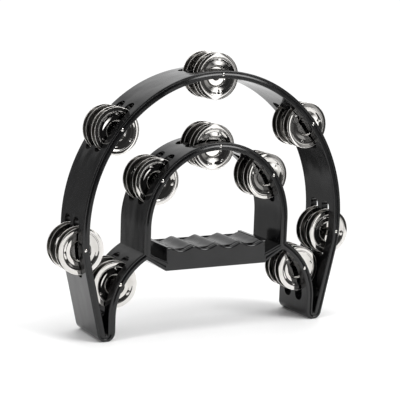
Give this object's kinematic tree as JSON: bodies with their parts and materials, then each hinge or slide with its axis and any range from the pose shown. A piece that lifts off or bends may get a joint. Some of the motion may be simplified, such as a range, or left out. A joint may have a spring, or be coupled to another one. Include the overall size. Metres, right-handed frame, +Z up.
{
  "type": "tambourine",
  "caption": "Headless half-moon hand tambourine: two plastic arches with paired jingles on pins in slots, joined at two feet, with a wavy grip bar inside the inner arch.",
  "frame": {"origin": "centred between the feet and between the front and rear faces, on the surface that the feet stand on", "axes": "X across the instrument from foot to foot, Y from the front face to the rear face along the pins, Z up from the feet to the top of the arch"},
  "size_m": [0.2666, 0.045, 0.2235],
  "materials": {
    "black_plastic": "satin moulded black plastic",
    "grip_plastic": "softer satin black plastic",
    "pin_steel": "bright nickel-plated steel",
    "jingle_nickel": "mirror-bright nickel-plated steel"
  },
  "bodies": {
    "tambourine_frame": {"frame_outer_arch": "black_plastic", "frame_inner_arch": "black_plastic", "frame_leg_left": "black_plastic", "frame_leg_right": "black_plastic", "handle_tray": "black_plastic", "handle_grip": "grip_plastic", "pin_outer_top": "pin_steel", "pin_inner_top": "pin_steel", "pin_outer_upper_left": "pin_steel", "pin_outer_upper_right": "pin_steel", "pin_outer_side_left": "pin_steel", "pin_outer_side_right": "pin_steel", "pin_inner_upper_left": "pin_steel", "pin_inner_upper_right": "pin_steel", "pin_leg_left": "pin_steel", "pin_leg_right": "pin_steel"},
    "jingle_outer_top_1": {"jingle_outer_top_1": "jingle_nickel"},
    "jingle_outer_top_2": {"jingle_outer_top_2": "jingle_nickel"},
    "jingle_outer_top_3": {"jingle_outer_top_3": "jingle_nickel"},
    "jingle_outer_top_4": {"jingle_outer_top_4": "jingle_nickel"},
    "jingle_inner_top_1": {"jingle_inner_top_1": "jingle_nickel"},
    "jingle_inner_top_2": {"jingle_inner_top_2": "jingle_nickel"},
    "jingle_inner_top_3": {"jingle_inner_top_3": "jingle_nickel"},
    "jingle_inner_top_4": {"jingle_inner_top_4": "jingle_nickel"},
    "jingle_outer_upper_left_1": {"jingle_outer_upper_left_1": "jingle_nickel"},
    "jingle_outer_upper_left_2": {"jingle_outer_upper_left_2": "jingle_nickel"},
    "jingle_outer_upper_left_3": {"jingle_outer_upper_left_3": "jingle_nickel"},
    "jingle_outer_upper_left_4": {"jingle_outer_upper_left_4": "jingle_nickel"},
    "jingle_outer_upper_right_1": {"jingle_outer_upper_right_1": "jingle_nickel"},
    "jingle_outer_upper_right_2": {"jingle_outer_upper_right_2": "jingle_nickel"},
    "jingle_outer_upper_right_3": {"jingle_outer_upper_right_3": "jingle_nickel"},
    "jingle_outer_upper_right_4": {"jingle_outer_upper_right_4": "jingle_nickel"},
    "jingle_outer_side_left_1": {"jingle_outer_side_left_1": "jingle_nickel"},
    "jingle_outer_side_left_2": {"jingle_outer_side_left_2": "jingle_nickel"},
    "jingle_outer_side_left_3": {"jingle_outer_side_left_3": "jingle_nickel"},
    "jingle_outer_side_left_4": {"jingle_outer_side_left_4": "jingle_nickel"},
    "jingle_outer_side_right_1": {"jingle_outer_side_right_1": "jingle_nickel"},
    "jingle_outer_side_right_2": {"jingle_outer_side_right_2": "jingle_nickel"},
    "jingle_outer_side_right_3": {"jingle_outer_side_right_3": "jingle_nickel"},
    "jingle_outer_side_right_4": {"jingle_outer_side_right_4": "jingle_nickel"},
    "jingle_inner_upper_left_1": {"jingle_inner_upper_left_1": "jingle_nickel"},
    "jingle_inner_upper_left_2": {"jingle_inner_upper_left_2": "jingle_nickel"},
    "jingle_inner_upper_left_3": {"jingle_inner_upper_left_3": "jingle_nickel"},
    "jingle_inner_upper_left_4": {"jingle_inner_upper_left_4": "jingle_nickel"},
    "jingle_inner_upper_right_1": {"jingle_inner_upper_right_1": "jingle_nickel"},
    "jingle_inner_upper_right_2": {"jingle_inner_upper_right_2": "jingle_nickel"},
    "jingle_inner_upper_right_3": {"jingle_inner_upper_right_3": "jingle_nickel"},
    "jingle_inner_upper_right_4": {"jingle_inner_upper_right_4": "jingle_nickel"},
    "jingle_leg_left_1": {"jingle_leg_left_1": "jingle_nickel"},
    "jingle_leg_left_2": {"jingle_leg_left_2": "jingle_nickel"},
    "jingle_leg_left_3": {"jingle_leg_left_3": "jingle_nickel"},
    "jingle_leg_left_4": {"jingle_leg_left_4": "jingle_nickel"},
    "jingle_leg_right_1": {"jingle_leg_right_1": "jingle_nickel"},
    "jingle_leg_right_2": {"jingle_leg_right_2": "jingle_nickel"},
    "jingle_leg_right_3": {"jingle_leg_right_3": "jingle_nickel"},
    "jingle_leg_right_4": {"jingle_leg_right_4": "jingle_nickel"}
  },
  "joints": [
    {"name": "slide_outer_top_1", "type": "slide", "parent": "tambourine_frame", "child": "jingle_outer_top_1", "axis": [0, 1, 0], "range_m": [-0.00107, 0.00033]},
    {"name": "slide_outer_top_2", "type": "slide", "parent": "tambourine_frame", "child": "jingle_outer_top_2", "axis": [0, 1, 0], "range_m": [-0.00033, 0.002]},
    {"name": "slide_outer_top_3", "type": "slide", "parent": "tambourine_frame", "child": "jingle_outer_top_3", "axis": [0, 1, 0], "range_m": [-0.00187, 0.00033]},
    {"name": "slide_outer_top_4", "type": "slide", "parent": "tambourine_frame", "child": "jingle_outer_top_4", "axis": [0, 1, 0], "range_m": [-0.00033, 0.00127]},
    {"name": "slide_inner_top_1", "type": "slide", "parent": "tambourine_frame", "child": "jingle_inner_top_1", "axis": [0, 1, 0], "range_m": [-0.002, 0.00033]},
    {"name": "slide_inner_top_2", "type": "slide", "parent": "tambourine_frame", "child": "jingle_inner_top_2", "axis": [0, 1, 0], "range_m": [-0.00033, 0.00027]},
    {"name": "slide_inner_top_3", "type": "slide", "parent": "tambourine_frame", "child": "jingle_inner_top_3", "axis": [0, 1, 0], "range_m": [-0.00197, 0.00033]},
    {"name": "slide_inner_top_4", "type": "slide", "parent": "tambourine_frame", "child": "jingle_inner_top_4", "axis": [0, 1, 0], "range_m": [-0.00033, 0.00117]},
    {"name": "slide_outer_upper_left_1", "type": "slide", "parent": "tambourine_frame", "child": "jingle_outer_upper_left_1", "axis": [0, 1, 0], "range_m": [-0.00112, 0.00033]},
    {"name": "slide_outer_upper_left_2", "type": "slide", "parent": "tambourine_frame", "child": "jingle_outer_upper_left_2", "axis": [0, 1, 0], "range_m": [-0.00033, 0.00172]},
    {"name": "slide_outer_upper_left_3", "type": "slide", "parent": "tambourine_frame", "child": "jingle_outer_upper_left_3", "axis": [0, 1, 0], "range_m": [-0.00102, 0.00033]},
    {"name": "slide_outer_upper_left_4", "type": "slide", "parent": "tambourine_frame", "child": "jingle_outer_upper_left_4", "axis": [0, 1, 0], "range_m": [-0.00033, 0.00182]},
    {"name": "slide_outer_upper_right_1", "type": "slide", "parent": "tambourine_frame", "child": "jingle_outer_upper_right_1", "axis": [0, 1, 0], "range_m": [-0.00102, 0.00033]},
    {"name": "slide_outer_upper_right_2", "type": "slide", "parent": "tambourine_frame", "child": "jingle_outer_upper_right_2", "axis": [0, 1, 0], "range_m": [-0.00033, 0.00182]},
    {"name": "slide_outer_upper_right_3", "type": "slide", "parent": "tambourine_frame", "child": "jingle_outer_upper_right_3", "axis": [0, 1, 0], "range_m": [-0.00192, 0.00033]},
    {"name": "slide_outer_upper_right_4", "type": "slide", "parent": "tambourine_frame", "child": "jingle_outer_upper_right_4", "axis": [0, 1, 0], "range_m": [-0.00033, 0.00092]},
    {"name": "slide_outer_side_left_1", "type": "slide", "parent": "tambourine_frame", "child": "jingle_outer_side_left_1", "axis": [0, 1, 0], "range_m": [-0.00032, 0.00033]},
    {"name": "slide_outer_side_left_2", "type": "slide", "parent": "tambourine_frame", "child": "jingle_outer_side_left_2", "axis": [0, 1, 0], "range_m": [-0.00033, 0.002]},
    {"name": "slide_outer_side_left_3", "type": "slide", "parent": "tambourine_frame", "child": "jingle_outer_side_left_3", "axis": [0, 1, 0], "range_m": [-0.00152, 0.00033]},
    {"name": "slide_outer_side_left_4", "type": "slide", "parent": "tambourine_frame", "child": "jingle_outer_side_left_4", "axis": [0, 1, 0], "range_m": [-0.00033, 0.00112]},
    {"name": "slide_outer_side_right_1", "type": "slide", "parent": "tambourine_frame", "child": "jingle_outer_side_right_1", "axis": [0, 1, 0], "range_m": [-0.002, 0.00033]},
    {"name": "slide_outer_side_right_2", "type": "slide", "parent": "tambourine_frame", "child": "jingle_outer_side_right_2", "axis": [0, 1, 0], "range_m": [-0.00033, 0.00032]},
    {"name": "slide_outer_side_right_3", "type": "slide", "parent": "tambourine_frame", "child": "jingle_outer_side_right_3", "axis": [0, 1, 0], "range_m": [-0.00072, 0.00033]},
    {"name": "slide_outer_side_right_4", "type": "slide", "parent": "tambourine_frame", "child": "jingle_outer_side_right_4", "axis": [0, 1, 0], "range_m": [-0.00033, 0.00192]},
    {"name": "slide_inner_upper_left_1", "type": "slide", "parent": "tambourine_frame", "child": "jingle_inner_upper_left_1", "axis": [0, 1, 0], "range_m": [-0.00122, 0.00033]},
    {"name": "slide_inner_upper_left_2", "type": "slide", "parent": "tambourine_frame", "child": "jingle_inner_upper_left_2", "axis": [0, 1, 0], "range_m": [-0.00033, 0.00162]},
    {"name": "slide_inner_upper_left_3", "type": "slide", "parent": "tambourine_frame", "child": "jingle_inner_upper_left_3", "axis": [0, 1, 0], "range_m": [-0.002, 0.00033]},
    {"name": "slide_inner_upper_left_4", "type": "slide", "parent": "tambourine_frame", "child": "jingle_inner_upper_left_4", "axis": [0, 1, 0], "range_m": [-0.00033, 0.00082]},
    {"name": "slide_inner_upper_right_1", "type": "slide", "parent": "tambourine_frame", "child": "jingle_inner_upper_right_1", "axis": [0, 1, 0], "range_m": [-0.00182, 0.00033]},
    {"name": "slide_inner_upper_right_2", "type": "slide", "parent": "tambourine_frame", "child": "jingle_inner_upper_right_2", "axis": [0, 1, 0], "range_m": [-0.00033, 0.00102]},
    {"name": "slide_inner_upper_right_3", "type": "slide", "parent": "tambourine_frame", "child": "jingle_inner_upper_right_3", "axis": [0, 1, 0], "range_m": [-0.00112, 0.00033]},
    {"name": "slide_inner_upper_right_4", "type": "slide", "parent": "tambourine_frame", "child": "jingle_inner_upper_right_4", "axis": [0, 1, 0], "range_m": [-0.00033, 0.00172]},
    {"name": "slide_leg_left_1", "type": "slide", "parent": "tambourine_frame", "child": "jingle_leg_left_1", "axis": [0, 1, 0], "range_m": [-0.00137, 0.00033]},
    {"name": "slide_leg_left_2", "type": "slide", "parent": "tambourine_frame", "child": "jingle_leg_left_2", "axis": [0, 1, 0], "range_m": [-0.00033, 0.00177]},
    {"name": "slide_leg_left_3", "type": "slide", "parent": "tambourine_frame", "child": "jingle_leg_left_3", "axis": [0, 1, 0], "range_m": [-0.002, 0.00033]},
    {"name": "slide_leg_left_4", "type": "slide", "parent": "tambourine_frame", "child": "jingle_leg_left_4", "axis": [0, 1, 0], "range_m": [-0.00033, 0.00107]},
    {"name": "slide_leg_right_1", "type": "slide", "parent": "tambourine_frame", "child": "jingle_leg_right_1", "axis": [0, 1, 0], "range_m": [-0.00177, 0.00033]},
    {"name": "slide_leg_right_2", "type": "slide", "parent": "tambourine_frame", "child": "jingle_leg_right_2", "axis": [0, 1, 0], "range_m": [-0.00033, 0.00137]},
    {"name": "slide_leg_right_3", "type": "slide", "parent": "tambourine_frame", "child": "jingle_leg_right_3", "axis": [0, 1, 0], "range_m": [-0.00107, 0.00033]},
    {"name": "slide_leg_right_4", "type": "slide", "parent": "tambourine_frame", "child": "jingle_leg_right_4", "axis": [0, 1, 0], "range_m": [-0.00033, 0.002]}
  ]
}
